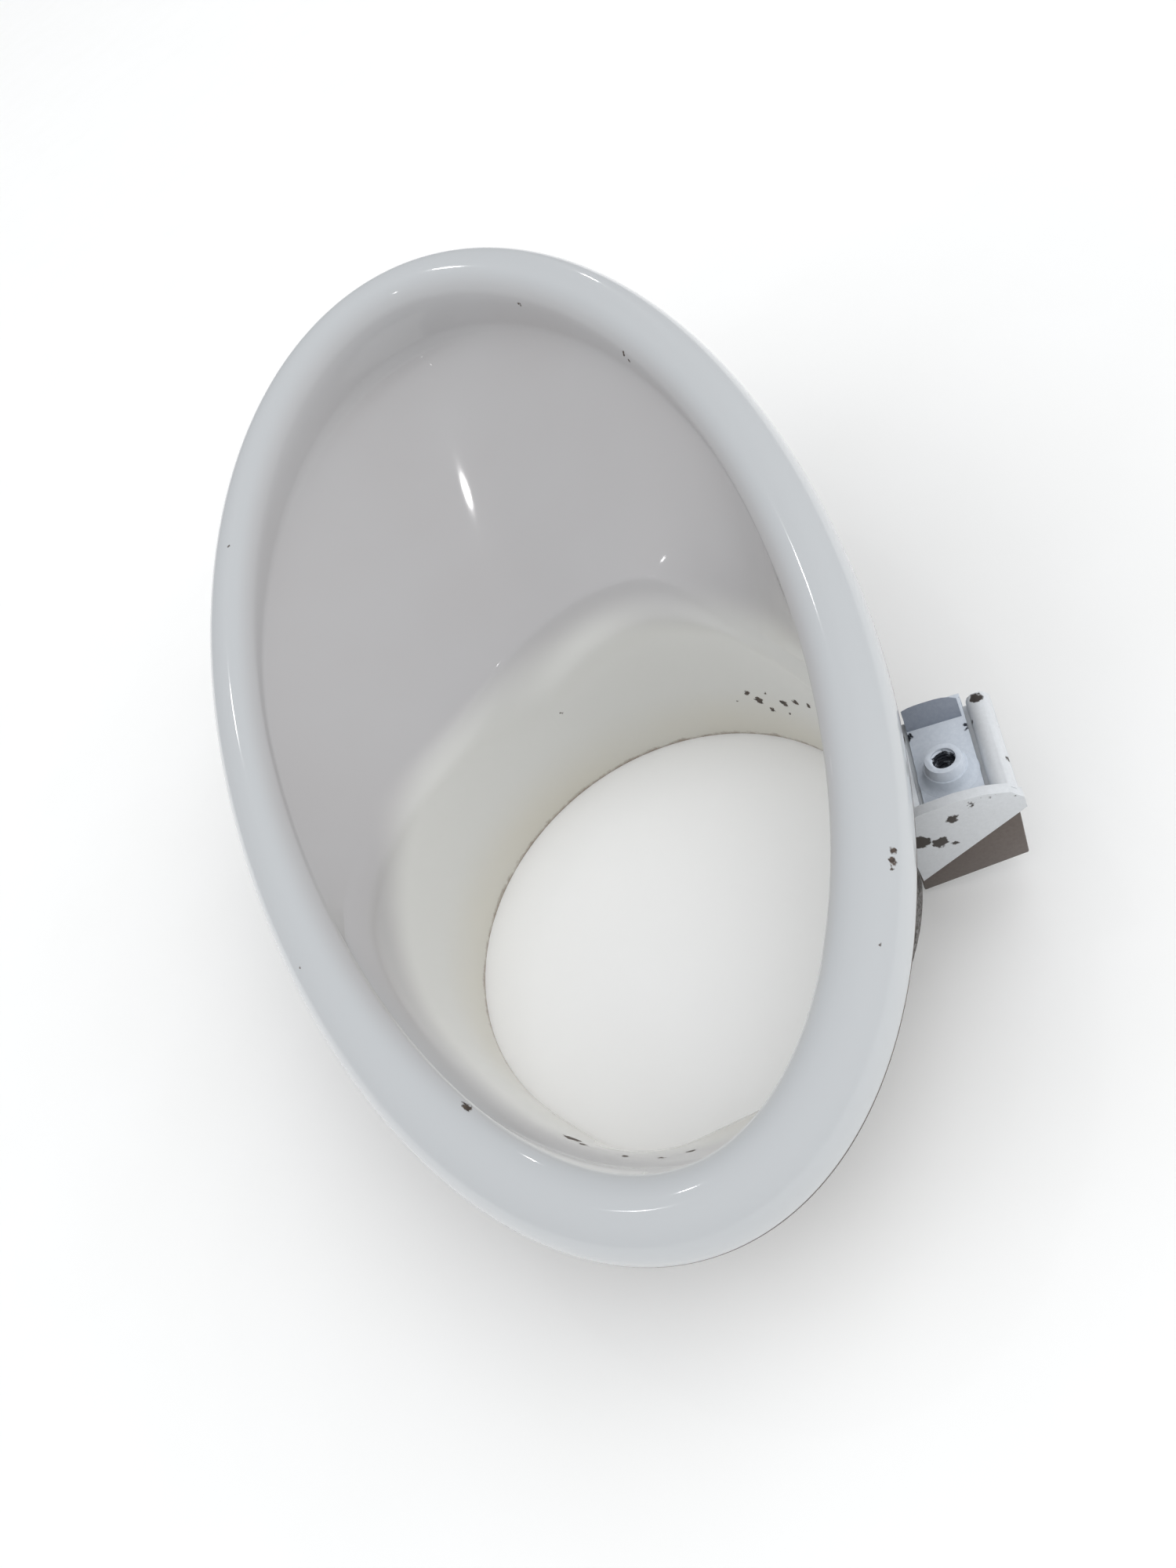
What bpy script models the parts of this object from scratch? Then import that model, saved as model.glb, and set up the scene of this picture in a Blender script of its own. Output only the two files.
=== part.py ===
"""Oval flared lamp bezel with slip-on clip nuts, metres, +Z out of the mouth.

The bezel stands on the flat rear edge of its round throat.  +X runs along the long
axis of the oval towards its low end, +Y towards the side bracket, and Z is parallel to
the throat's axis.  Dimensions below are millimetres from the middle of the throat, and
metres() moves them to the middle of the whole part's footprint.  The shell is one loft
of rings: skirt, rolled lip, crease, funnel, shoulder, collar wall and throat.  Three
brackets stand behind it, and each holds a folded steel clip nut that pushes on over the
bracket's tab.
"""
import math

import bmesh
import bpy

MM = 0.001
THROAT_X = 44.0                      # throat's axis from the middle of the footprint

# ---- rolled lip ---------------------------------------------------------------------
LIP_CENTRE = (-47.4, -4.3, 54.7)     # centre of the oval the lip follows
LIP_HALF_LENGTH = 119.0
LIP_HALF_WIDTH = 61.1
LIP_TILT = math.radians(11.2)        # the lip plane rises towards the far end
LIP_EGG = 0.03                       # blunter low end
LIP_RADIUS = 7.0
SKIRT_DEPTH = 1.2                    # straight outer edge below the widest line
CREASE_SIDE = (6.1, 2.6)             # inboard and up from the lip's centre line
CREASE_FAR = (13.3, -7.8)            # the same at the far end
ROLL_FAR = 3.2                       # the roll's inboard half is this much wider there
ROLL_SWEEP = (148.0, 152.0)          # degrees of roll at the side and at the far end

# ---- throat and collar --------------------------------------------------------------
THROAT_RADIUS = 48.0
THROAT_FLAT = 3.0                    # plain cylinder above the rear edge
WORN_DEPTH = 2.8                     # the throat is worn wider here, near the low end
WORN_MIDDLE = -26.0
WORN_HALF = 25.0
WALL = 2.2
STATION = 15.0                       # degrees between the stations below, from +X
SHOULDER_RADIUS = (60.5, 57, 52.5, 50.5, 49.5, 49.3, 49.5, 49.4, 49.6, 51.4, 54, 55.4,
                   55.5, 54.1, 52.5, 52.1, 52, 51.7, 51.5, 51.7, 52.5, 54.3, 56.5, 59.2)
SHOULDER_HEIGHT = (23, 24.1, 26, 28, 30, 30.2, 29, 28, 29.5, 38, 44.5, 43.4,
                   39.8, 36.5, 34.5, 36.1, 39, 42.6, 44.5, 41.2, 36, 30.7, 26, 23.7)
SPIGOT_RADIUS = (53.5, 51.8, 50, 49.2, 48.8, 48.7, 48.8, 48.9, 49.1, 49.4, 49.8, 50.3,
                 50.3, 49.9, 49.3, 48.8, 48.6, 48.9, 49.5, 49.9, 50.5, 52.1, 53.5, 53.9)
SPIGOT_HEIGHT = (10, 11.6, 14, 15.6, 17, 18.2, 19.5, 21.5, 25.5, 34.5, 38.2, 35.8,
                 30, 21.5, 13, 7.3, 5, 8.8, 15, 21.9, 26, 20.9, 14, 11)
SHOULDER_FILLET = 2.6
CRISP_FILLET = 1.3                   # the shoulder is crisper round this angle
CRISP_MIDDLE = 142.0
CRISP_HALF = 55.0

AROUND = 96                          # points round every ring
LIP_STEPS = 9
FUNNEL_PLACES = (0.06, 0.35, 0.65, 0.94)     # rings between the crease and the fillet

# ---- bracket head and clip nut ------------------------------------------------------
TAB_THICK = 2.4
TAB_FREE_END = -14.5                 # along the tab from the nut's axis
TAB_STOP = 7.0
SLOT_WIDTH = 7.0
GUIDE_INNER = 6.0                    # guide walls stand either side of the clip
GUIDE_LEFT = 2.2
GUIDE_RIGHT = 4.4
GUIDE_HEIGHT = 3.0
WEB_THICK = 2.0
CLIP_WIDTH = 10.6
CLIP_SHEET = 0.8
CLIP_GAP = 0.3
CLIP_FRONT_END = 5.6
CLIP_REAR_END = 3.0
BARREL_BASE = 4.0
BARREL_MOUTH = 3.2
BARREL_HEIGHT = 4.4
THREAD_BORE = 2.2
FIT_GAP = 0.3

# name: nut axis (x, y), direction the clip pushes on, height of the tab's upper face
BRACKETS = {
    "side": ((17.0, 58.9), math.radians(-14.0), 25.0),
    "tail": ((-130.0, 0.0), 0.0, 50.0),
    "left": ((-62.0, -47.0), math.radians(24.0), 34.0),
}


def metres(x, y, z):
    return ((x + THROAT_X) * MM, y * MM, z * MM)


def clear():
    for thing in list(bpy.data.objects):
        bpy.data.objects.remove(thing, do_unlink=True)


def collection(name):
    group = bpy.data.collections.new(name)
    bpy.context.scene.collection.children.link(group)
    return group


def material(name, colour, metallic, roughness):
    mat = bpy.data.materials.new(name)
    mat.use_nodes = True
    shader = mat.node_tree.nodes["Principled BSDF"]
    shader.inputs["Base Color"].default_value = (*colour, 1.0)
    shader.inputs["Metallic"].default_value = metallic
    shader.inputs["Roughness"].default_value = roughness
    mat.diffuse_color = (*colour, 1.0)
    return mat


def add_object(name, bm, group, mat):
    bmesh.ops.recalc_face_normals(bm, faces=bm.faces)
    mesh = bpy.data.meshes.new(name)
    bm.to_mesh(mesh)
    bm.free()
    mesh.materials.append(mat)
    thing = bpy.data.objects.new(name, mesh)
    group.objects.link(thing)
    return thing


def stations(values, angle):
    """Smooth closed curve through equally spaced values, read at an angle in degrees."""
    count = len(values)
    place = (angle % 360.0) / STATION
    first = int(place) % count
    s = place - int(place)
    a, b, c, d = (values[(first + k) % count] for k in (-1, 0, 1, 2))
    return b + 0.5 * s * (c - a + s * (2 * a - 5 * b + 4 * c - d + s * (3 * (b - c) + d - a)))


def lip_frame(t):
    """Centre point, inboard direction and lip normal at parameter t of the oval."""
    def centre(t):
        u = LIP_HALF_LENGTH * (math.cos(t) + LIP_EGG * math.cos(2 * t))
        w = LIP_HALF_WIDTH * math.sin(t) * (1 + LIP_EGG * math.cos(t))
        return u, w
    u, w = centre(t)
    u1, w1 = centre(t + 1e-4)
    length = math.hypot(u1 - u, w1 - w)
    out_u, out_w = (w1 - w) / length, -(u1 - u) / length
    ct, st = math.cos(LIP_TILT), math.sin(LIP_TILT)
    cx, cy, cz = LIP_CENTRE
    point = (cx + u * ct, cy + w, cz - u * st)
    inboard = (-out_u * ct, -out_w, out_u * st)
    normal = (st, 0.0, ct)
    return point, inboard, normal


def lip_point(t, inboard, up):
    point, a, n = lip_frame(t)
    return tuple(p + inboard * i + up * k for p, i, k in zip(point, a, n))


def far_weight(t):
    return max(0.0, -math.cos(t)) ** 1.5


def lip_rings():
    """Rings from the skirt's edge over the roll to the crease."""
    params = [2 * math.pi * k / AROUND for k in range(AROUND)]
    rings = [[lip_point(t, -LIP_RADIUS, -SKIRT_DEPTH) for t in params]]
    for step in range(LIP_STEPS + 1):
        ring = []
        for t in params:
            f = far_weight(t)
            sweep = math.radians(ROLL_SWEEP[0] + (ROLL_SWEEP[1] - ROLL_SWEEP[0]) * f)
            sweep *= step / LIP_STEPS
            across = LIP_RADIUS + (ROLL_FAR * f if math.cos(sweep) < 0.0 else 0.0)
            ring.append(lip_point(t, -across * math.cos(sweep), LIP_RADIUS * math.sin(sweep)))
        rings.append(ring)
    crease = []
    for t in params:
        f = far_weight(t)
        crease.append(lip_point(t, *(s + (e - s) * f for s, e in zip(CREASE_SIDE, CREASE_FAR))))
    rings.append(crease)
    return rings


def swell(angle, middle, half):
    """1 at the middle angle, falling smoothly to 0 at half degrees either side."""
    away = abs((angle - middle + 180.0) % 360.0 - 180.0)
    return math.cos(math.radians(90.0 * away / half)) ** 2 if away < half else 0.0


def throat_radius(angle):
    return THROAT_RADIUS + WORN_DEPTH * swell(angle, WORN_MIDDLE, WORN_HALF)


def fillet(angle):
    crisp = swell(angle, CRISP_MIDDLE, CRISP_HALF)
    return SHOULDER_FILLET + (CRISP_FILLET - SHOULDER_FILLET) * crisp


def throat_rings(crease):
    """Rings from the crease down the funnel, shoulder and collar to the rear edge."""
    angles = [math.degrees(math.atan2(p[1], p[0])) for p in crease]

    def ring(radius, height):
        return [(radius(a) * math.cos(math.radians(a)),
                 radius(a) * math.sin(math.radians(a)), height(a)) for a in angles]

    shoulder_r = lambda a: stations(SHOULDER_RADIUS, a)
    shoulder_z = lambda a: stations(SHOULDER_HEIGHT, a)
    upper = ring(lambda a: shoulder_r(a) + fillet(a),
                 lambda a: shoulder_z(a) + 0.35 * fillet(a))
    middle = ring(lambda a: shoulder_r(a) + 0.35 * fillet(a),
                  lambda a: shoulder_z(a) - 0.45 * fillet(a))
    lower = ring(lambda a: shoulder_r(a) - 0.25 * fillet(a),
                 lambda a: shoulder_z(a) - 1.5 * fillet(a))
    spigot = ring(lambda a: stations(SPIGOT_RADIUS, a), lambda a: stations(SPIGOT_HEIGHT, a))
    flat = ring(throat_radius, lambda a: THROAT_FLAT)
    edge = ring(throat_radius, lambda a: 0.0)

    rings = []
    for s in FUNNEL_PLACES:
        rings.append([tuple(p + (q - p) * s for p, q in zip(a, b))
                      for a, b in zip(crease, upper)])
    return rings + [upper, middle, lower, spigot, flat, edge]


def shell_surface(name, group, mat):
    rings = lip_rings()
    rings += throat_rings(rings[-1])
    bm = bmesh.new()
    verts = [[bm.verts.new(metres(*p)) for p in ring] for ring in rings]
    for above, below in zip(verts, verts[1:]):
        for k in range(AROUND):
            j = (k + 1) % AROUND
            bm.faces.new((above[k], above[j], below[j], below[k]))
    mesh = bpy.data.meshes.new(name)
    bm.to_mesh(mesh)
    bm.free()
    mesh.materials.append(mat)
    thing = bpy.data.objects.new(name, mesh)
    group.objects.link(thing)
    return thing


def solidify(thing, thickness, offset):
    mod = thing.modifiers.new("wall", "SOLIDIFY")
    mod.thickness = thickness * MM
    mod.offset = offset
    mod.use_even_offset = True
    mod.use_quality_normals = True


def boolean(thing, operation, other):
    mod = thing.modifiers.new(other.name, "BOOLEAN")
    mod.operation = operation
    mod.solver = "EXACT"
    mod.object = other


def frame_to_world(place, turn):
    c, s = math.cos(turn), math.sin(turn)
    return lambda u, v, z: metres(place[0] + u * c - v * s, place[1] + u * s + v * c, z)


def prism(name, outline, low, high, plane, to_world, group, mat):
    """Closed prism of an outline drawn in the plane 'uv', 'uz' or 'vz'."""
    put = {"uv": lambda p, h: to_world(p[0], p[1], h),
           "uz": lambda p, h: to_world(p[0], h, p[1]),
           "vz": lambda p, h: to_world(h, p[0], p[1])}[plane]
    bm = bmesh.new()
    bottom = [bm.verts.new(put(p, low)) for p in outline]
    top = [bm.verts.new(put(p, high)) for p in outline]
    bm.faces.new(bottom)
    bm.faces.new(top)
    for k in range(len(outline)):
        j = (k + 1) % len(outline)
        bm.faces.new((bottom[k], bottom[j], top[j], top[k]))
    return add_object(name, bm, group, mat)


def cone(name, centre, r_low, r_high, low, high, to_world, group, mat, sides=32):
    bm = bmesh.new()
    rows = []
    for radius, z in ((r_low, low), (r_high, high)):
        rows.append([bm.verts.new(to_world(centre[0] + radius * math.cos(2 * math.pi * k / sides),
                                           centre[1] + radius * math.sin(2 * math.pi * k / sides),
                                           z)) for k in range(sides)])
    bm.faces.new(rows[0])
    bm.faces.new(rows[1])
    for k in range(sides):
        j = (k + 1) % sides
        bm.faces.new((rows[0][k], rows[0][j], rows[1][j], rows[1][k]))
    return add_object(name, bm, group, mat)


def arc(cx, cy, radius, start, end, steps):
    return [(cx + radius * math.cos(math.radians(start + (end - start) * k / steps)),
             cy + radius * math.sin(math.radians(start + (end - start) * k / steps)))
            for k in range(steps + 1)]


def bracket(key, roots, group, cutters, mat, shell_cutter):
    """Tab with an open slot, two guide walls, an end web, and roots up to the shell."""
    place, turn, top = BRACKETS[key]
    world = frame_to_world(place, turn)
    left = -GUIDE_INNER - GUIDE_LEFT
    right = GUIDE_INNER + GUIDE_RIGHT
    half = SLOT_WIDTH / 2
    low = top - TAB_THICK
    tab_left = roots.get("tab_left", left)
    outline = [(TAB_FREE_END, tab_left), (TAB_FREE_END, -half)]
    outline += arc(0.0, 0.0, half, -90.0, 90.0, 12)
    outline += [(TAB_FREE_END, half), (TAB_FREE_END, right),
                (TAB_STOP + WEB_THICK, right), (TAB_STOP + WEB_THICK, tab_left)]
    body = prism(key + "_bracket", outline, low, top, "uv", world, group, mat)

    wall_top = top + GUIDE_HEIGHT
    far = left + 0.15
    guide = [(far, low + 0.4), (-GUIDE_INNER, low + 0.4), (-GUIDE_INNER, wall_top - 0.8),
             (-GUIDE_INNER - 0.8, wall_top), (far, wall_top)]
    parts = [prism(key + "_guide_left", guide, TAB_FREE_END + 0.5, TAB_STOP + 0.7, "vz",
                   world, cutters, mat)]
    r = GUIDE_RIGHT / 2 - 0.05
    guide = [(GUIDE_INNER, low + 0.4)]
    guide += [(right - 0.1, low + 0.4)]
    guide += arc(GUIDE_INNER + GUIDE_RIGHT / 2, wall_top - r, r, 0.0, 180.0, 10)
    parts.append(prism(key + "_guide_right", guide, TAB_FREE_END + 0.2, TAB_STOP + 0.7, "vz",
                       world, cutters, mat))
    for number, (plane, outline, start, end) in enumerate(roots["plates"]):
        parts.append(prism("%s_root_%d" % (key, number), outline, start, end, plane, world,
                           cutters, mat))
    for part in parts:
        boolean(body, "UNION", part)
    boolean(body, "DIFFERENCE", shell_cutter)
    return body


def clip_nut(key, group, cutters, mat):
    """Folded spring-steel clip with a drawn, tapped barrel on its front leaf."""
    place, turn, top = BRACKETS[key]
    world = frame_to_world(place, turn)
    face = top + CLIP_GAP
    back = top - TAB_THICK - CLIP_GAP
    bulge = 0.9
    bend = (face - back) / 2
    mid = (face + back) / 2
    end = TAB_FREE_END - 0.2
    inner = [(CLIP_FRONT_END, face), (end + 3.0, face), (end + 1.4, face + bulge),
             (end - 0.2, face + bulge)]
    inner += arc(end - 0.2, mid + bulge / 2, bend + bulge / 2, 90.0, 270.0, 10)[1:]
    inner += [(CLIP_REAR_END, back), (CLIP_REAR_END + 2.2, back - 1.0)]
    outer = [(CLIP_REAR_END + 1.9, back - 1.0 - CLIP_SHEET),
             (CLIP_REAR_END - 0.2, back - CLIP_SHEET)]
    outer += arc(end - 0.2, mid + bulge / 2, bend + bulge / 2 + CLIP_SHEET, 270.0, 90.0, 10)
    outer += [(end + 1.7, face + bulge + CLIP_SHEET), (end + 3.3, face + CLIP_SHEET),
              (CLIP_FRONT_END, face + CLIP_SHEET)]
    body = prism(key + "_clip_nut", inner + outer, -CLIP_WIDTH / 2, CLIP_WIDTH / 2, "uz",
                 world, group, mat)
    barrel = cone(key + "_barrel", (0, 0), BARREL_BASE, BARREL_MOUTH, face + 0.3,
                  face + CLIP_SHEET + BARREL_HEIGHT, world, cutters, mat)
    bore = cone(key + "_bore", (0, 0), THREAD_BORE, THREAD_BORE, back - 4.0,
                face + CLIP_SHEET + BARREL_HEIGHT + 2.0, world, cutters, mat)
    rear = cone(key + "_rear_hole", (0, 0), 2.9, 2.9, back - 4.0, mid, world, cutters, mat)
    boolean(body, "UNION", barrel)
    boolean(body, "DIFFERENCE", bore)
    boolean(body, "DIFFERENCE", rear)
    return body


clear()
parts = collection("lamp_bezel")
cutters = collection("cutters")
paint = material("painted_plastic", (0.72, 0.72, 0.70), 0.0, 0.25)
plastic = material("bracket_plastic", (0.62, 0.64, 0.67), 0.0, 0.45)
steel = material("spring_steel", (0.45, 0.47, 0.52), 0.8, 0.4)

shell = shell_surface("bezel_shell", parts, paint)
solidify(shell, WALL, -1.0)

# Everything closer than the fit gap to the shell is cut from the bracket roots.
shell_cutter = shell_surface("shell_clearance", cutters, paint)
solidify(shell_cutter, WALL + 2 * FIT_GAP, -1.0 + 2 * FIT_GAP / (WALL + 2 * FIT_GAP))

top = BRACKETS["side"][2]
web = [(-10.4, 8.0), (-10.4, top + 2.2), (-6.0, top + 3.6), (0.0, top + 4.4), (5.0, top + 4.2),
       (9.0, top + 3.0), (10.9, top + 0.6), (10.9, top - TAB_THICK)]
bracket("side", {"tab_left": -10.2,
                 "plates": [("vz", web, TAB_STOP, TAB_STOP + WEB_THICK)]},
        parts, cutters, plastic, shell_cutter)

low = BRACKETS["tail"][2] - TAB_THICK + 0.3
post = [(-12.5, low), (8.4, low), (8.4, 58.3), (-12.5, 64.0)]
stop = [(-8.0, low + 1.0), (10.2, low + 1.0), (10.2, 58.3), (0.0, 57.2), (-8.0, 57.1)]
bracket("tail", {"plates": [("uz", post, 6.6, 8.8),
                            ("vz", stop, TAB_STOP - 0.2, TAB_STOP + WEB_THICK - 0.25)]},
        parts, cutters, plastic, shell_cutter)

low = BRACKETS["left"][2] - TAB_THICK + 0.3
post = [(-12.5, low), (8.4, low), (8.4, 42.4), (-12.5, 51.8)]
stop = [(-8.0, low + 1.0), (10.2, low + 1.0), (10.2, 41.0), (-8.0, 48.0)]
bracket("left", {"plates": [("uz", post, 6.6, 8.8),
                            ("vz", stop, TAB_STOP - 0.2, TAB_STOP + WEB_THICK - 0.25)]},
        parts, cutters, plastic, shell_cutter)

for key in BRACKETS:
    clip_nut(key, parts, cutters, steel)

for thing in cutters.objects:
    thing.hide_render = True
    thing.display_type = "WIRE"
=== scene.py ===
# %% [markdown]
# # A white painted lamp bezel with slip-on clip nuts
# The bezel is a thin moulding of dark plastic, sprayed gloss white on the side that
# shows. Its lip rolls outward, its funnel runs down to a round throat, and brackets behind
# it hold folded steel clip nuts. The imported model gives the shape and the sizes. This
# lesson refines its meshes, adds the small parts that a solid model leaves out, and builds
# the finishes from nodes. The script starts by loading the frame and keeping its box.

# %% Load the frame
import math

import bmesh
import bpy
from mathutils import Matrix, Vector


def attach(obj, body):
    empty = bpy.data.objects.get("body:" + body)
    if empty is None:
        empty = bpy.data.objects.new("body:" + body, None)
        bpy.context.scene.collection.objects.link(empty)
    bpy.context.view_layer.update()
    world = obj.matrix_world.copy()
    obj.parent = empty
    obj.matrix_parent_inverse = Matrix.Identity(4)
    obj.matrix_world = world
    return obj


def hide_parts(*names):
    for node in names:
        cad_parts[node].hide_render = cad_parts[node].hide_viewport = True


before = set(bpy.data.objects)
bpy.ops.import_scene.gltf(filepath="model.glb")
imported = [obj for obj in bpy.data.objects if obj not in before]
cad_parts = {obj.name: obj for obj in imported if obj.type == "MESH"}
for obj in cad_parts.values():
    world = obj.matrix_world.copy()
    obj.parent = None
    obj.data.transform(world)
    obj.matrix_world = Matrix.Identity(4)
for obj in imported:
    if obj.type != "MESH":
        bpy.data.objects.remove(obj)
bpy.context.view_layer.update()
MM = 0.001
print("frame:", sorted(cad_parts))


# %% [markdown]
# ## Colours and nodes
# Paint makers and screens state colours as sRGB hex values, and Blender's shaders want
# linear numbers, so one function turns the first into the second. A second function adds
# one shader node with its settings and its links and hands back the output that the next
# node needs. A value that is a socket gets linked, and any other value is set.

# %% Colour and node helpers
def linear(hex_value):
    """Linear RGBA from an sRGB hex string."""
    channels = [int(hex_value[i:i + 2], 16) / 255.0 for i in (0, 2, 4)]
    return (*[c / 12.92 if c <= 0.04045 else ((c + 0.055) / 1.055) ** 2.4
              for c in channels], 1.0)


def add_node(tree, kind, inputs, out=0, **settings):
    """Adds one node, sets or links its inputs, and returns one of its outputs."""
    node = tree.nodes.new(kind)
    for name, value in settings.items():
        setattr(node, name, value)
    for place, value in inputs.items():
        if isinstance(value, bpy.types.NodeSocket):
            tree.links.new(value, node.inputs[place])
        else:
            node.inputs[place].default_value = value
    return node.outputs[out] if len(node.outputs) else None


def new_material(name):
    """An empty node material and its tree."""
    mat = bpy.data.materials.new(name)
    mat.use_nodes = True
    mat.node_tree.nodes.clear()
    return mat, mat.node_tree


print("mid grey 808080 is", [round(c, 3) for c in linear("808080")[:3]], "in linear light")


# %% [markdown]
# ## Working on copies of the solids
# A imported solid arrives as loose triangles. A copy is merged along its seams before
# anything else, because a bevel or a smooth normal needs shared vertices. The copy then
# stands for the solid and rides on its body.

# %% Copy helpers
def merged_copy(node):
    """The node's mesh as a bmesh with shared vertices."""
    bm = bmesh.new()
    bm.from_mesh(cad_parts[node].data)
    bmesh.ops.remove_doubles(bm, verts=bm.verts, dist=0.004 * MM)
    return bm


def add_piece(name, bm, mat, body, node=None, smooth_angle=35.0):
    """Turns the bmesh into an object at the origin that rides on a body."""
    mesh = bpy.data.meshes.new(name)
    for face in bm.faces:
        face.smooth = True
    bm.to_mesh(mesh)
    bm.free()
    mesh.set_sharp_from_angle(angle=math.radians(smooth_angle))
    mesh.materials.append(mat)
    piece = bpy.data.objects.new(name, mesh)
    bpy.context.scene.collection.objects.link(piece)
    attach(piece, body)
    if node:
        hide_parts(node)
    print(name, len(mesh.polygons), "faces")
    return piece


for node in sorted(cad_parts):
    print(node, len(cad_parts[node].data.polygons), "triangles")


# %% [markdown]
# ## Round spots in a material
# Chips and bare patches sit at places measured on the part, in millimetres. A spot is the
# distance from its middle, cut off at its radius. Noise first nudges the position, so that
# the spots' edges are ragged like flaked paint.

# %% Spots
SPOT_FADE = 0.25          # width of a spot's faded edge, mm
RAGGED_SIZE = 1.1         # size of the nibbles in a spot's edge, mm


def spots(tree, position, places, wobble_mm):
    """1 inside the listed x, y, z, radius places, with uneven edges."""
    warp = add_node(tree, "ShaderNodeTexNoise",
                    {"Vector": position, "Scale": 1.0 / (RAGGED_SIZE * MM), "Detail": 3.0}, "Color")
    centred = add_node(tree, "ShaderNodeVectorMath", {0: warp, 1: (0.5, 0.5, 0.5)},
                       operation="SUBTRACT")
    moved = add_node(tree, "ShaderNodeVectorMath",
                     {0: centred, 1: (wobble_mm * MM,) * 3, 2: position},
                     operation="MULTIPLY_ADD")
    total = None
    for x, y, z, radius in places:
        away = add_node(tree, "ShaderNodeVectorMath", {0: moved, 1: (x * MM, y * MM, z * MM)},
                        "Value", operation="DISTANCE")
        inside = add_node(tree, "ShaderNodeMapRange", {
            "Value": away, "From Min": radius * MM, "From Max": (radius - SPOT_FADE) * MM})
        total = inside if total is None else add_node(
            tree, "ShaderNodeMath", {0: total, 1: inside}, operation="MAXIMUM")
    return total


print("a spot's edge fades over", SPOT_FADE, "mm")

# %% [markdown]
# ## White gloss paint: where a point is
# The front is sprayed with a two-pack gloss white over black-brown ABS. The colour changes
# from the lip to the funnel to the collar round the throat, with painted shade in the funnel
# and painted bounce light on the collar, so the material first measures where a point lies.
# It finds how far out it is in the lip's oval, where 1 is the crest, how far it is from the
# throat's axis, and how far it stands above the lip's sloping plane.

# %% Paint: measures
OVAL_Y, OVAL_LONG, OVAL_WIDE = -4.3, 116.7, 61.1     # middle, half length, half width, mm
LIP_TILT, LIP_LEVEL = math.radians(11.2), 53.0       # slope, and height over the throat, mm
THROAT_X = 44.0                                      # the throat's axis, mm

paint, tree = new_material("gloss white two-pack paint over moulded ABS")
position = add_node(tree, "ShaderNodeTexCoord", {}, "Object")
height = add_node(tree, "ShaderNodeSeparateXYZ", {"Vector": position}, "Z")
in_oval = add_node(
    tree, "ShaderNodeVectorMath",
    {0: position, 1: (1 / (OVAL_LONG * MM), 1 / (OVAL_WIDE * MM), 0.0),
     2: (0.0, -OVAL_Y / OVAL_WIDE, 0.0)}, operation="MULTIPLY_ADD")
oval = add_node(tree, "ShaderNodeVectorMath", {0: in_oval}, "Value", operation="LENGTH")
across = add_node(tree, "ShaderNodeVectorMath",
                  {0: position, 1: (1.0, 1.0, 0.0), 2: (-THROAT_X * MM, 0.0, 0.0)},
                  operation="MULTIPLY_ADD")
from_axis = add_node(tree, "ShaderNodeVectorMath", {0: across}, "Value", operation="LENGTH")
along_up = add_node(tree, "ShaderNodeVectorMath",
                    {0: position, 1: (math.sin(LIP_TILT), 0.0, math.cos(LIP_TILT))}, "Value",
                    operation="DOT_PRODUCT")
above_lip = add_node(tree, "ShaderNodeMath", {0: along_up, 1: LIP_LEVEL * MM},
                     operation="SUBTRACT")
print("paint measures:", len(tree.nodes), "nodes")

# %% [markdown]
# ## White gloss paint: the coat's colour and painted light
# The lip is the coat's own white. The funnel is greyer and slightly cloudy, which is painted
# shade in its hollow. The collar is creamier, and the colour warms toward the rear edge near
# the table; both are painted warm light bounced up from the table. The collar is creamier, and the
# paint has
# yellowed toward the rear edge, where heat and hands reach it.

# %% Paint: coat colour, painted shade and painted bounce light
# The funnel grey is painted shade. The collar cream and the warm tint near the rear edge are
# painted warm light bounced up from the table.
PAINT_WHITE = "BDC0C2"
FUNNEL_SHADE_GREY = "AEACAC"
COLLAR_BOUNCE_CREAM = "D0D0CC"
WARM_BOUNCE = "CCC7B8"
CLOUD_SIZE = 35.0                          # mm
FUNNEL_STARTS, FUNNEL_FULL = 0.965, 0.885  # in the oval's measure, from the crest inward
COLLAR_STARTS, COLLAR_FULL = 58.0, 52.0    # from the throat's axis, mm
COLLAR_TOP, COLLAR_DEEP = -9.0, -20.0      # below the lip's plane, mm
BOUNCE_TOP, BOUNCE_FULL = 18.0, 1.0        # above the rear edge, mm

cloud = add_node(tree, "ShaderNodeTexNoise",
                 {"Vector": position, "Scale": 1.0 / (CLOUD_SIZE * MM), "Detail": 2.0})
inside_lip = add_node(tree, "ShaderNodeMapRange",
                      {"Value": oval, "From Min": FUNNEL_STARTS,
                       "From Max": FUNNEL_FULL},
                      interpolation_type="SMOOTHSTEP")
# The funnel's grey, made patchy by the noise, is painted shade in the funnel's hollow.
shade_patches = add_node(tree, "ShaderNodeMapRange", {"Value": cloud, "To Min": 0.75, "To Max": 1.1})
funnel = add_node(tree, "ShaderNodeMath", {0: inside_lip, 1: shade_patches}, operation="MULTIPLY")
colour = add_node(tree, "ShaderNodeMix",
                  {0: funnel, 6: linear(PAINT_WHITE), 7: linear(FUNNEL_SHADE_GREY)}, 2,
                  data_type="RGBA")
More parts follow.
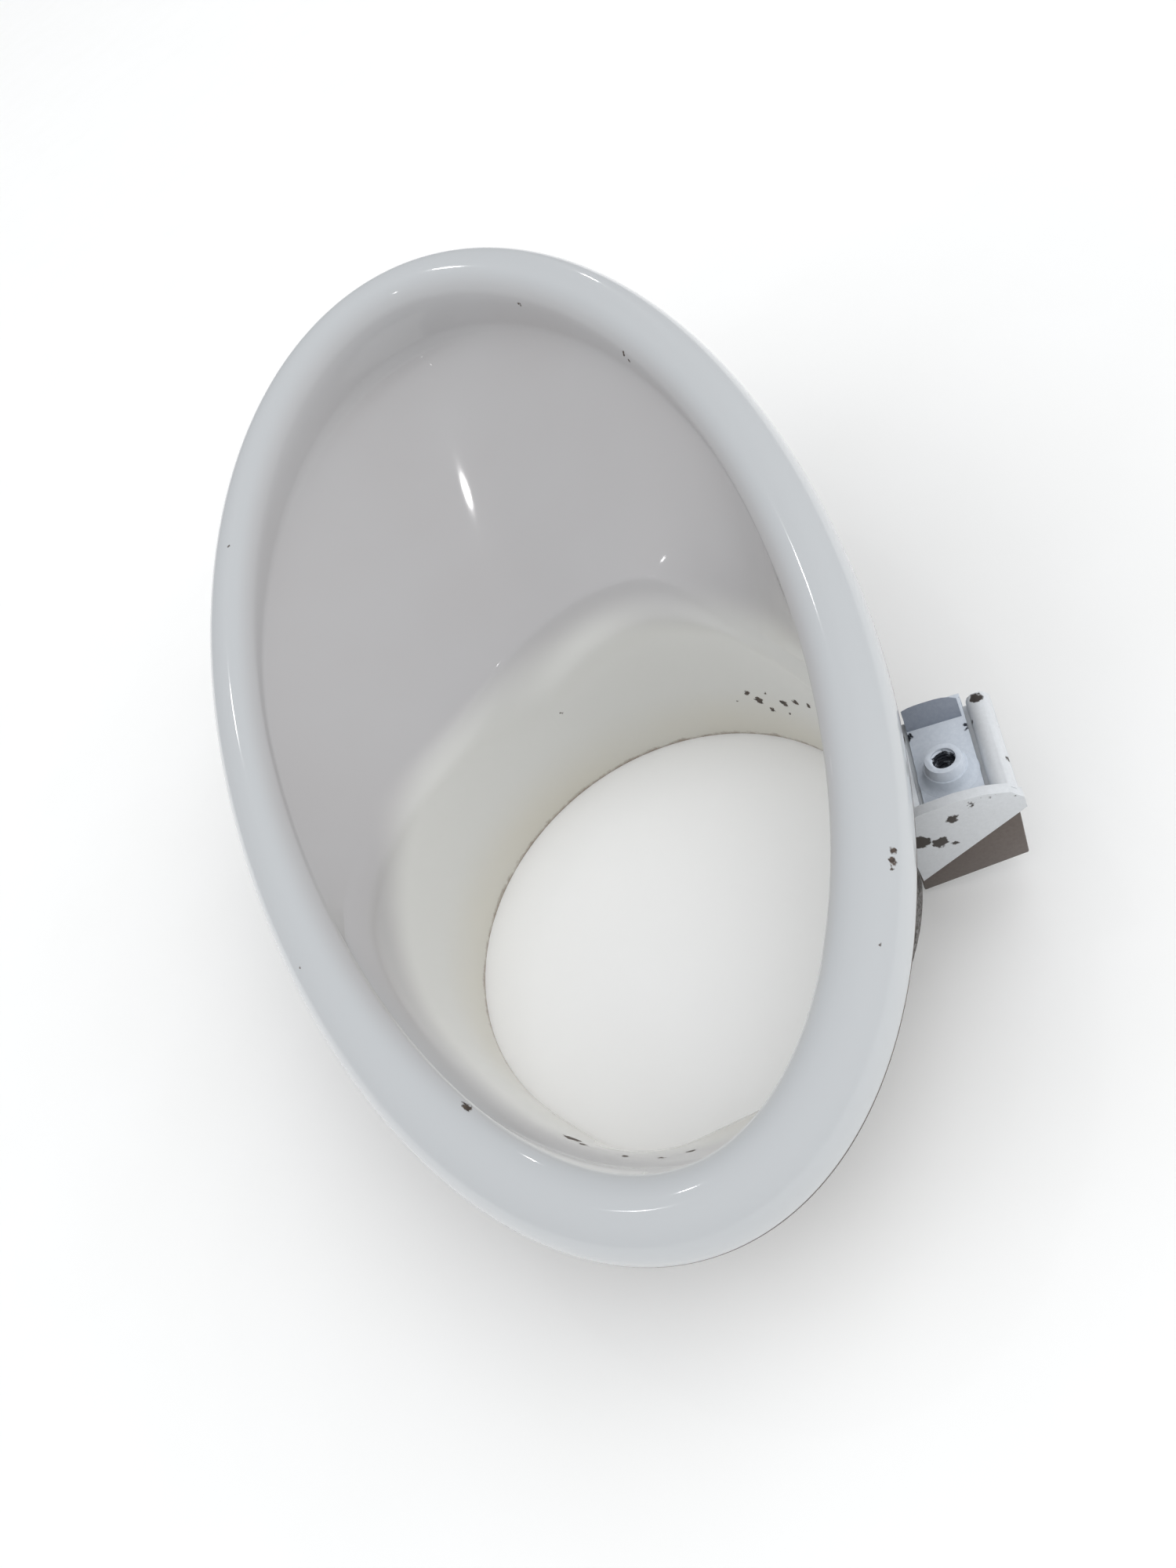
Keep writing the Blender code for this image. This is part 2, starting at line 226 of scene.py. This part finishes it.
# The creamier collar round the throat is painted bounce light from the table.
near_throat = add_node(tree, "ShaderNodeMapRange",
                       {"Value": from_axis, "From Min": COLLAR_STARTS * MM,
                        "From Max": COLLAR_FULL * MM},
                       interpolation_type="SMOOTHSTEP")
below_lip = add_node(tree, "ShaderNodeMapRange",
                     {"Value": above_lip, "From Min": COLLAR_TOP * MM,
                      "From Max": COLLAR_DEEP * MM},
                     interpolation_type="SMOOTHSTEP")
collar = add_node(tree, "ShaderNodeMath", {0: near_throat, 1: below_lip},
                  operation="MULTIPLY")
colour = add_node(tree, "ShaderNodeMix", {0: collar, 6: colour, 7: linear(COLLAR_BOUNCE_CREAM)}, 2,
                  data_type="RGBA")
# Warmer toward the rear edge near the table: painted bounce light from the table.
low = add_node(tree, "ShaderNodeMapRange",
               {"Value": height, "From Min": BOUNCE_TOP * MM,
                "From Max": BOUNCE_FULL * MM, "To Max": 1.1},
               interpolation_type="SMOOTHSTEP")
low_bounce = add_node(tree, "ShaderNodeMath", {0: low, 1: cloud}, operation="MULTIPLY")
colour = add_node(tree, "ShaderNodeMix", {0: low_bounce, 6: colour, 7: linear(WARM_BOUNCE)}, 2,
                  data_type="RGBA")
print("coat colour:", len(tree.nodes), "nodes")

# %% [markdown]
# ## White gloss paint: edges and knocks
# Grime has settled in a thin brown line on the rear edge. The lip shades the outermost rim
# of its skirt from the spray, so a dark line of bare plastic shows there. Knocks have
# lifted the paint in a few places, most of them low on the collar.

# %% Paint: wear
DARK_PLASTIC = "37302B"
DIRT_BROWN = "7A6650"
OVERSPRAY = "8F8D8B"
WORN_PLASTIC = "5A4C42"
GRAIN_SIZE = 2.2                   # mm
GRIME_DEPTH = 3.0                  # how far the grain pushes the grime line about, mm
RIM_STARTS, RIM_FULL = 1.03, 1.05  # in the oval's measure
# Knocks: x, y, z and radius, in millimetres.
KNOCKS = [(82.5, 43.5, 43, 0.7), (84, 42.7, 43, 0.8), (85.2, 42, 43, 0.6),
          (89, -37.3, 41, 0.9), (88, -37.5, 41, 0.5), (90, -29, 18.7, 1.9),
          (92.5, -27, 20, 1.0), (98, -20, 20, 0.8), (100, -14, 19, 0.9),
          (99.5, -10, 15, 1.0), (9, 33.5, 15, 0.8), (10.7, 35, 13, 1.2), (12.6, 36.7, 10.4, 0.8),
          (16, 39.5, 14, 1.1), (19, 41.7, 16, 1.0), (22.5, 44, 17, 0.9), (12.5, 37, 16, 0.5),
          (16.5, 39.7, 10.8, 0.5), (6.7, 31, 12, 0.4), (-5.6, -5.4, 22.7, 0.4),
          (-49.5, 44.5, 67, 0.7), (-47.5, 45, 66, 0.5), (-84.4, 29, 73, 0.5),
          (-58, -57, 72.4, 0.6), (95.5, 35, 41.3, 0.35), (52, -61, 50.5, 0.4)]

grain = add_node(tree, "ShaderNodeTexNoise",
                 {"Vector": position, "Scale": 1.0 / (GRAIN_SIZE * MM), "Detail": 4.0,
                  "Roughness": 0.6})
ragged = add_node(tree, "ShaderNodeMath", {0: grain, 1: -GRIME_DEPTH * MM, 2: height},
                  operation="MULTIPLY_ADD")
grime = add_node(tree, "ShaderNodeMapRange", {
    "Value": ragged, "From Min": -0.4 * MM, "From Max": -1.4 * MM, "To Max": 0.75})
colour = add_node(tree, "ShaderNodeMix", {0: grime, 6: colour, 7: linear(DIRT_BROWN)}, 2,
                  data_type="RGBA")
masked = add_node(tree, "ShaderNodeMapRange", {
    "Value": above_lip, "From Min": -0.3 * MM, "From Max": -0.6 * MM})
outermost = add_node(tree, "ShaderNodeMapRange",
                     {"Value": oval, "From Min": RIM_STARTS, "From Max": RIM_FULL})
raw_rim = add_node(tree, "ShaderNodeMath", {0: masked, 1: outermost}, operation="MULTIPLY")
knocked = spots(tree, position, KNOCKS, 2.0)
bare = add_node(tree, "ShaderNodeMath", {0: knocked, 1: raw_rim}, operation="MAXIMUM")
print("knocks:", len(KNOCKS), "and the tree has", len(tree.nodes), "nodes")

# %% [markdown]
# ## White gloss paint: the unpainted back
# The back of the moulding only caught drifting spray, so it stays mostly dark. The drifts
# are soft and broad and speckled with droplets, so a slow noise and a fine one are
# multiplied. The attribute named painted is 1
# on the front and 0 on the back, and the mesh cell below writes it.

# %% Paint: back
DRIFT_SIZE, DROPLET_SIZE = 30.0, 0.9      # mm

front = add_node(tree, "ShaderNodeAttribute", {}, "Fac", attribute_name="painted")
slow = add_node(tree, "ShaderNodeTexNoise",
                {"Vector": position, "Scale": 1.0 / (DRIFT_SIZE * MM), "Detail": 4.0,
                 "Roughness": 0.6})
drift = add_node(tree, "ShaderNodeMapRange",
                 {"Value": slow, "From Min": 0.42, "From Max": 0.62},
                 interpolation_type="SMOOTHSTEP")
fine = add_node(tree, "ShaderNodeTexNoise",
                {"Vector": position, "Scale": 1.0 / (DROPLET_SIZE * MM), "Detail": 4.0,
                 "Roughness": 0.7})
droplets = add_node(tree, "ShaderNodeMapRange",
                    {"Value": fine, "From Min": 0.35, "From Max": 0.65},
                    interpolation_type="SMOOTHSTEP")
mist = add_node(tree, "ShaderNodeMath", {0: drift, 1: droplets}, operation="MULTIPLY")
back = add_node(tree, "ShaderNodeMix",
                {0: mist, 6: linear(DARK_PLASTIC), 7: linear(OVERSPRAY)}, 2,
                data_type="RGBA")
dusty = add_node(tree, "ShaderNodeMix",
                 {0: droplets, 6: linear(DARK_PLASTIC), 7: linear(WORN_PLASTIC)}, 2,
                 data_type="RGBA")
colour = add_node(tree, "ShaderNodeMix", {0: bare, 6: colour, 7: dusty}, 2, data_type="RGBA")
colour = add_node(tree, "ShaderNodeMix", {0: front, 6: back, 7: colour}, 2, data_type="RGBA")
print("back: drifts", DRIFT_SIZE, "mm across, speckle", DROPLET_SIZE, "mm")

# %% [markdown]
# ## White gloss paint: gloss and relief
# A clear glossy top gives sharp highlights, and it ends where the paint does. Spray leaves
# a faint orange peel about 2.4 mm across, and a knock is a shallow step down to the
# plastic, so both go into the bump.

# %% Paint: shader
PEEL_SIZE = 2.4           # mm
PEEL_SHARE = 0.06         # of the depth of a knock
PAINT_DEPTH = 0.12        # mm

whole = add_node(tree, "ShaderNodeMath", {0: 1.0, 1: bare}, operation="SUBTRACT")
sound = add_node(tree, "ShaderNodeMath", {0: front, 1: whole}, operation="MULTIPLY")
roughness = add_node(tree, "ShaderNodeMapRange",
                     {"Value": sound, "To Min": 0.6, "To Max": 0.38})
peel = add_node(tree, "ShaderNodeTexNoise",
                {"Vector": position, "Scale": 1.0 / (PEEL_SIZE * MM), "Detail": 1.0})
relief = add_node(tree, "ShaderNodeMath", {0: peel, 1: PEEL_SHARE, 2: whole},
                  operation="MULTIPLY_ADD")
bump = add_node(tree, "ShaderNodeBump",
                {"Height": relief, "Strength": 0.5, "Distance": PAINT_DEPTH * MM})
shader = add_node(tree, "ShaderNodeBsdfPrincipled",
                  {"Base Color": colour, "Roughness": roughness, "Normal": bump,
                   "Coat Weight": sound, "Coat Roughness": 0.06, "IOR": 1.5})
add_node(tree, "ShaderNodeOutputMaterial", {"Surface": shader})
print(paint.name, "has", len(tree.nodes), "nodes")

# %% [markdown]
# ## The bezel's shell
# The real shell is a single injection moulding about 2 mm thick, with soft flowing
# surfaces and one crisp raw edge at the throat. The solid has flat facets, so its merged
# copy is turned back into four-sided faces, ready to be subdivided. Raw edges get a crease,
# and so do the sharper bends between the funnel and the collar.

# %% Shell mesh
RAW_EDGE_ANGLE = math.radians(55.0)
SOFT_BEND = math.radians(9.0)        # bends over this stay crisp between funnel and collar
FULL_BEND = math.radians(35.0)
RAW_CREASE, MOST_CREASE = 0.8, 0.75
INSIDE_LIP = 0.93                    # in the oval's measure

shell_mesh = merged_copy("bezel_shell")
bmesh.ops.join_triangles(shell_mesh, faces=shell_mesh.faces, angle_face_threshold=math.pi,
                         angle_shape_threshold=math.pi, topology_influence=2.0)
crease = shell_mesh.edges.layers.float.new("crease_edge")
for edge in shell_mesh.edges:
    if not edge.is_manifold:
        continue
    bend = edge.calc_face_angle(0.0)
    middle = (edge.verts[0].co + edge.verts[1].co) / 2 / MM
    inside = math.hypot(middle.x / OVAL_LONG, (middle.y - OVAL_Y) / OVAL_WIDE) < INSIDE_LIP
    if bend > RAW_EDGE_ANGLE:
        edge[crease] = RAW_CREASE
    elif inside and bend > SOFT_BEND:
        edge[crease] = min(MOST_CREASE, (bend - SOFT_BEND) / FULL_BEND)
quads = sum(len(face.verts) == 4 for face in shell_mesh.faces)
print("shell:", len(shell_mesh.faces), "faces,", quads, "of them four-sided")


# %% [markdown]
# ## The painted side
# The spray came from the front only. The painted face is found by spreading from the
# highest point of the lip and stopping at the raw edges, and it is stored as an attribute
# that the paint reads. Two subdivisions then smooth the skin.

# %% Painted side and skin
def spread_from(start):
    """Faces reached from start without crossing a raw edge."""
    seen, queue = {start}, [start]
    while queue:
        for edge in queue.pop().edges:
            if not edge.is_manifold or edge.calc_face_angle(0.0) > RAW_EDGE_ANGLE:
                continue
            for face in edge.link_faces:
                if face not in seen:
                    seen.add(face)
                    queue.append(face)
    return seen


front_faces = spread_from(max(shell_mesh.faces, key=lambda f: f.calc_center_median().z))
painted = shell_mesh.verts.layers.float.new("painted")
for face in front_faces:
    for vert in face.verts:
        vert[painted] = 1.0
print("painted:", len(front_faces), "of", len(shell_mesh.faces), "faces")
shell = add_piece("bezel_shell_skin", shell_mesh, paint, "bezel",
                  "bezel_shell", 55.0)
smooth = shell.modifiers.new("smooth", "SUBSURF")
smooth.levels = smooth.render_levels = 2


# %% [markdown]
# ## Oversprayed plastic and steel
# The brackets and clip nuts weren't masked, so a thin bluish-white mist of paint covers
# them. It is dry and matt, and it missed patches where the dark plastic or the steel
# shows. Noise gives the small patches, and the large ones are at measured places.

# %% Overspray materials
PATCH_SIZE, SPECK_SIZE = 5.0, 0.8     # mm
MIST_DEPTH = 0.1                      # mm


def overspray(name, base_hex, mist_hex, light_hex, metal, cover, places):
    """A base seen through patchy paint mist; less cover leaves fewer bare patches."""
    mat, tree = new_material(name)
    position = add_node(tree, "ShaderNodeTexCoord", {}, "Object")
    patch = add_node(tree, "ShaderNodeTexNoise",
                     {"Vector": position, "Scale": 1.0 / (PATCH_SIZE * MM), "Detail": 4.0,
                      "Roughness": 0.6})
    speck = add_node(tree, "ShaderNodeTexNoise",
                     {"Vector": position, "Scale": 1.0 / (SPECK_SIZE * MM), "Detail": 4.0,
                      "Roughness": 0.7})
    mixed = add_node(tree, "ShaderNodeMix", {0: 0.25, 2: patch, 3: speck}, 0,
                     data_type="FLOAT")
    missed = add_node(tree, "ShaderNodeMapRange",
                      {"Value": mixed, "From Min": cover, "From Max": cover - 0.03})
    large = spots(tree, position, places, 2.0)
    bare = add_node(tree, "ShaderNodeMath", {0: missed, 1: large}, operation="MAXIMUM")
    cloudy = add_node(tree, "ShaderNodeMix",
                      {0: speck, 6: linear(mist_hex), 7: linear(light_hex)}, 2,
                      data_type="RGBA")
    colour = add_node(tree, "ShaderNodeMix", {0: bare, 6: cloudy, 7: linear(base_hex)}, 2,
                      data_type="RGBA")
    metallic = add_node(tree, "ShaderNodeMath", {0: bare, 1: metal}, operation="MULTIPLY")
    roughness = add_node(tree, "ShaderNodeMapRange", {"Value": bare, "To Min": 0.42,
                                                      "To Max": 0.45})
    relief = add_node(tree, "ShaderNodeMath", {0: speck, 1: 0.5, 2: bare},
                      operation="MULTIPLY_ADD")
    bump = add_node(tree, "ShaderNodeBump", {"Height": relief, "Strength": 0.5,
                                             "Distance": MIST_DEPTH * MM}, invert=True)
    shader = add_node(tree, "ShaderNodeBsdfPrincipled",
                      {"Base Color": colour, "Metallic": metallic, "Roughness": roughness,
                       "Normal": bump})
    add_node(tree, "ShaderNodeOutputMaterial", {"Surface": shader})
    print(name, "has", len(tree.nodes), "nodes")
    return mat


print("mist: patches", PATCH_SIZE, "mm across, speckle", SPECK_SIZE, "mm")

# %% [markdown]
# ## Four mists
# The brackets are the plastic, and the clips are dark phosphated steel. The steel push tabs
# get a darker grey mist, which is painted shade, since they face away from the light, and
# the dark plate below the side bracket's web gets a dark brown finish. The spray never
# got down the barrels, so round spots along each nut's axis leave the bore dark.

# %% The mists
# Nut axis x and y, turn in degrees, and height of the sheet's upper face.
NUTS = {"side": (61.0, 58.9, -14.0, 26.1), "tail": (-86.0, 0.0, 0.0, 51.1),
        "left": (-18.0, -47.0, 24.0, 35.1)}
BORE_SPOT, BORE_STEPS = 2.5, (-0.5, 1.0, 2.3)         # radius and heights in the bore, mm
# Bare blotches on the side bracket and its clip: x, y, z and radius, in millimetres.
BLOTCHES = [(69.4, 55.3, 24.9, 1.2), (68.5, 52, 18.9, 1.6), (69.3, 54, 17.4, 0.8),
            (67.8, 49, 20.5, 1.9), (67.2, 47.2, 24, 1.3), (50.3, 69.9, 27.6, 1.3),
            (53.7, 66.2, 27, 1.2), (47.6, 68.8, 27.4, 1.0), (49.8, 56, 26.4, 1.1),
            (58.4, 67.4, 26.6, 0.6), (64.6, 68.6, 26.8, 0.7), (66, 65, 26.4, 0.5)]
BORES = [(x, y, level + step, BORE_SPOT) for x, y, turn, level in NUTS.values()
         for step in BORE_STEPS]
bracket_mist = overspray("moulded ABS with white overspray", DARK_PLASTIC, "C8CBCD",
                         "DCDFE2", 0.0, 0.36, BLOTCHES)
steel_mist = overspray("phosphated spring steel with white overspray", "3C4048",
                       "BBC4CF", "D8DEE6", 0.7, 0.33, BLOTCHES + BORES)
# The push tabs' darker grey mist is painted shade, for tabs that face away from the light.
tab_shade_mist = overspray("phosphated steel mist darkened as painted shade", "3C4048",
                     "7C8492", "969DA8", 0.7, 0.36, BLOTCHES)
# A dark brown finish for the plate put below the side bracket's web.
dark_plate_finish = overspray("dark brown plate finish", DARK_PLASTIC, "50463F", "6A605A", 0.0,
                     0.36, BLOTCHES)


# %% [markdown]
# ## Brackets and clips
# Each bracket is a moulded tab with guide walls and an end web. A moulding has no razor
# edges, because the mould's corners are rounded by about 0.3 mm, and sheared sheet steel is
# rounded by about half as much. The merged copies get a small bevel along every sharp edge.

# %% Brackets and clips from the solids
MOULD_RADIUS, SHEET_RADIUS = 0.3, 0.15     # mm
SHARP = math.radians(38.0)


def bevelled_copy(name, node, body, mat, radius_mm):
    """A merged copy with every sharp edge rounded."""
    bm = merged_copy(node)
    bmesh.ops.dissolve_limit(bm, angle_limit=math.radians(1.0), verts=bm.verts, edges=bm.edges)
    sharp = [e for e in bm.edges if e.is_manifold and e.calc_face_angle(0.0) > SHARP]
    bmesh.ops.bevel(bm, geom=sharp, offset=radius_mm * MM, offset_type="OFFSET", segments=2,
                    profile=0.5, affect="EDGES", material=-1, clamp_overlap=True)
    return add_piece(name, bm, mat, body, node, 30.0)


for side in ("side", "tail", "left"):
    bevelled_copy(side + "_bracket_moulding", side + "_bracket", "bezel",
                  bracket_mist, MOULD_RADIUS)
    bevelled_copy(side + "_clip", side + "_clip_nut", side + "_nut",
                  steel_mist, SHEET_RADIUS)


# %% [markdown]
# ## A dark plate below the web
# Below the side bracket's end web a dark brown plate is put where a dark wedge shows.
# It is a flat outline pushed back by its thickness, with the same small bevel.

# %% Dark plate below the side bracket's web
HEEL = [(47.0, 20.0), (66.3, 20.0), (65.6, 6.5), (46.2, 2.0), (46.6, 8.0)]   # y and z, mm
HEEL_X, HEEL_Y, HEEL_SLOPE = 65.5, 46.9, 0.27         # the web's plane, seen from above
HEEL_BACK = (-1.9, 0.5)                               # x and y through its thickness, mm

bm = bmesh.new()
corners = [bm.verts.new(((HEEL_X + HEEL_SLOPE * (y - HEEL_Y)) * MM, y * MM, z * MM))
           for y, z in HEEL]
made = bmesh.ops.extrude_face_region(bm, geom=[bm.faces.new(corners)])["geom"]
bmesh.ops.translate(bm, vec=(HEEL_BACK[0] * MM, HEEL_BACK[1] * MM, 0.0),
                    verts=[v for v in made if isinstance(v, bmesh.types.BMVert)])
bmesh.ops.recalc_face_normals(bm, faces=bm.faces)
bmesh.ops.bevel(bm, geom=bm.edges, offset=MOULD_RADIUS * MM, offset_type="OFFSET",
                segments=2, profile=0.5, affect="EDGES", material=-1, clamp_overlap=True)
print("open edges in the heel:", sum(e.is_boundary for e in bm.edges))
add_piece("dark_plate_below_web", bm, dark_plate_finish, "bezel", None, 30.0)


# %% [markdown]
# ## Drawn barrels, threads and pull tabs
# A clip nut's barrel is drawn out of the sheet, so it flares where it leaves the sheet,
# and an M5 thread with a 0.8 mm pitch is cut inside it. A flared ring is one profile spun
# a full turn. The thread is a small profile spun many turns while it climbs, which is what
# a tap does. At the free end the sheet turns up into a tab that a thumb can push.

# %% Nut details
THREAD_PITCH = 0.8
THREAD_TURNS = 6
STEPS_PER_TURN = 24
RING_STEPS = 48
TAB_START, TAB_RISE, TAB_LEAN, TAB_CURL = -11.4, 3.6, 0.45, 0.35
TAB_HALF, TAB_SHIFT, TAB_SUNK, TAB_THICK = 5.0, -0.2, 0.1, 0.7
# Radius and height of each corner, in millimetres.
FLARE = [(3.2, -0.3), (5.5, -0.25), (5.4, 0.06), (4.75, 0.28), (4.3, 0.75), (4.05, 1.5),
         (3.85, 2.2), (3.2, 2.2)]
THREAD = [(2.32, -1.1), (1.92, -0.84), (1.92, -0.74), (2.32, -0.48)]


def profile_loop(bm, points):
    """A closed loop of edges in the plane through the nut's axis, in millimetres."""
    verts = [bm.verts.new((radius * MM, 0.0, z * MM)) for radius, z in points]
    return verts + [bm.edges.new((verts[k - 1], verts[k])) for k in range(len(verts))]


def flared_ring(bm):
    """The rounded foot of the barrel."""
    bmesh.ops.spin(bm, geom=profile_loop(bm, FLARE), cent=(0, 0, 0), axis=(0, 0, 1),
                   angle=2 * math.pi, steps=RING_STEPS, use_merge=True)


def thread(bm):
    """The tapped thread, a profile that climbs one pitch a turn."""
    bmesh.ops.spin(bm, geom=profile_loop(bm, THREAD), cent=(0, 0, 0), axis=(0, 0, 1),
                   angle=2 * math.pi * THREAD_TURNS,
                   dvec=(0, 0, THREAD_PITCH * MM / STEPS_PER_TURN),
                   steps=STEPS_PER_TURN * THREAD_TURNS, use_merge=False)
    bmesh.ops.holes_fill(bm, edges=[e for e in bm.edges if e.is_boundary], sides=4)


def push_tab(bm):
    """A curled tab of sheet at the clip's free end."""
    made = bmesh.ops.create_grid(bm, x_segments=8, y_segments=4, size=0.5)["verts"]
    for vert in made:
        across, along = vert.co.x * 2, vert.co.y + 0.5
        worn = 0.22 * max(0.0, across) ** 3 + 0.10 * max(0.0, -across) ** 4
        rise = TAB_RISE * along * (1.0 - worn)
        vert.co = Vector((TAB_START - TAB_LEAN * rise - TAB_CURL * rise * along,
                          TAB_HALF * across + TAB_SHIFT, rise - TAB_SUNK)) * MM
    bmesh.ops.solidify(bm, geom=bm.faces, thickness=TAB_THICK * MM)


print("thread:", THREAD_TURNS, "turns,", THREAD_TURNS * THREAD_PITCH, "mm long")

# %% [markdown]
# ## Placing the nut details
# Each detail is modelled once on the nut's own axis and then moved to where its nut sits.
# The finished objects themselves stay at the origin, so only their vertices move.

# %% Nut details in place
# Name, maker, material and smoothing angle in degrees.
DETAILS = (("barrel_flare", flared_ring, steel_mist, 50.0),
           ("thread", thread, steel_mist, 30.0),
           ("push_tab", push_tab, tab_shade_mist, 40.0))

for side, (x, y, turn, level) in NUTS.items():
    place = (Matrix.Translation((x * MM, y * MM, level * MM))
             @ Matrix.Rotation(math.radians(turn), 4, "Z"))
    for name, make, mat, smooth_angle in DETAILS:
        bm = bmesh.new()
        make(bm)
        bmesh.ops.transform(bm, matrix=place, verts=bm.verts)
        bmesh.ops.recalc_face_normals(bm, faces=bm.faces)
        add_piece("%s_%s" % (side, name), bm, mat, side + "_nut", None, smooth_angle)

# %% [markdown]
# ## Studio table
# The part stands on a pale matt table that is far wider than the picture.

# %% Table
TABLE_RADIUS = 4.0        # metres
FLECK_SIZE = 40.0         # mm

table_paint, tree = new_material("pale matt table top")
position = add_node(tree, "ShaderNodeTexCoord", {}, "Object")
fleck = add_node(tree, "ShaderNodeTexNoise",
                 {"Vector": position, "Scale": 1.0 / (FLECK_SIZE * MM), "Detail": 3.0})
colour = add_node(tree, "ShaderNodeMix",
                  {0: fleck, 6: linear("F7F7F5"), 7: linear("FBFBFA")}, 2, data_type="RGBA")
shader = add_node(tree, "ShaderNodeBsdfPrincipled", {"Base Color": colour, "Roughness": 0.7})
add_node(tree, "ShaderNodeOutputMaterial", {"Surface": shader})

bm = bmesh.new()
bmesh.ops.create_circle(bm, cap_ends=True, radius=TABLE_RADIUS, segments=64)
mesh = bpy.data.meshes.new("table_top")
bm.to_mesh(mesh)
bm.free()
mesh.materials.append(table_paint)
table = bpy.data.objects.new("table_top", mesh)
bpy.context.scene.collection.objects.link(table)
print("table:", 2 * TABLE_RADIUS, "m across")


# %% [markdown]
# ## Studio light
# Six very soft lights stand for white walls and a ceiling, and the strongest come from
# both long sides. They are hidden from reflections, because a gloss coat would mirror their edges.
# Three tiny lamps do the opposite and only draw the small highlights on the lip.

# %% Lights
AIM = Vector((0.0, 0.0, 0.04))            # the middle of the bezel, metres
WALL_WIDTH = math.radians(80.0)           # how wide a wall looks from the bezel
WALL_DISTANCE, LAMP_DISTANCE = 2.0, 1.5   # metres


def aimed(name, data, bearing, height, distance, glossy):
    """A light aimed at the bezel; bearing and height are degrees, from +X and up."""
    turn, rise = math.radians(bearing), math.radians(height)
    towards = Vector((math.cos(rise) * math.cos(turn), math.cos(rise) * math.sin(turn),
                      math.sin(rise)))
    lamp = bpy.data.objects.new(name, data)
    lamp.location = AIM + towards * distance
    lamp.rotation_euler = towards.to_track_quat("Z", "Y").to_euler()
    lamp.visible_glossy = glossy
    bpy.context.scene.collection.objects.link(lamp)


# Bearing, height and strength.
WALLS = {"left_wall": (270, 18, 1.20), "right_wall": (90, 45, 0.98), "near_wall": (0, 45, 0.46),
         "corner_wall": (45, 25, 0.47), "far_wall": (135, 25, 0.29), "ceiling": (0, 90, 0.30)}
# Bearing, height, size in metres and power in watts.
LAMPS = {"far_lamp": (205, 58, 0.045, 0.30), "left_lamp": (264, 74, 0.03, 0.10),
         "low_lamp": (160, 27, 0.045, 0.22)}
for name, (bearing, height, strength) in WALLS.items():
    data = bpy.data.lights.new(name, "SUN")
    data.angle = WALL_WIDTH
    data.energy = strength
    aimed(name, data, bearing, height, WALL_DISTANCE, False)
for name, (bearing, height, size, power) in LAMPS.items():
    data = bpy.data.lights.new(name, "AREA")
    data.shape = "DISK"
    data.size = size
    data.energy = power
    aimed(name, data, bearing, height, LAMP_DISTANCE, True)
print("lights:", len(WALLS), "soft and", len(LAMPS), "small")

# %% [markdown]
# ## Room light
# The world gives the even light of a white room. Where the camera sees past the table it
# finds a plain pale backdrop.

# %% World
world = bpy.data.worlds.new("soft studio")
world.use_nodes = True
sky = world.node_tree
sky.nodes.clear()
ambient = add_node(sky, "ShaderNodeBackground", {"Color": linear("F4F6FA"), "Strength": 0.47})
backdrop = add_node(sky, "ShaderNodeBackground", {"Color": linear("F6F6F4"), "Strength": 1.0})
seen = add_node(sky, "ShaderNodeLightPath", {}, "Is Camera Ray")
both = add_node(sky, "ShaderNodeMixShader", {0: seen, 1: ambient, 2: backdrop})
add_node(sky, "ShaderNodeOutputWorld", {"Surface": both})
bpy.context.scene.world = world
bpy.context.scene.view_settings.view_transform = "Standard"
print("world:", world.name)

# %% [markdown]
# ## Camera
# The camera stands near the low end and looks down into the funnel, under 30 cm away. Its
# axes are given as directions, and the third one follows from the other two.

# %% Camera
CAMERA_PLACE = Vector((0.1909, 0.0386, 0.1992))       # metres

camera_data = bpy.data.cameras.new("camera")
camera_data.sensor_fit = "VERTICAL"
camera_data.sensor_height = 36.0
camera_data.lens = 27.0
camera_data.clip_start = 0.01
camera = bpy.data.objects.new("camera", camera_data)
look = Vector((-0.689, -0.173, -0.704)).normalized()
right = Vector((0.230, 0.868, -0.439))
right = (right - look * right.dot(look)).normalized()
up = right.cross(look)
camera.matrix_world = Matrix((
    (right.x, up.x, -look.x, CAMERA_PLACE.x), (right.y, up.y, -look.y, CAMERA_PLACE.y),
    (right.z, up.z, -look.z, CAMERA_PLACE.z), (0.0, 0.0, 0.0, 1.0)))
bpy.context.scene.collection.objects.link(camera)
bpy.context.scene.camera = camera
print("camera:", camera_data.lens, "mm lens")

# %% Finish
print("scene built")
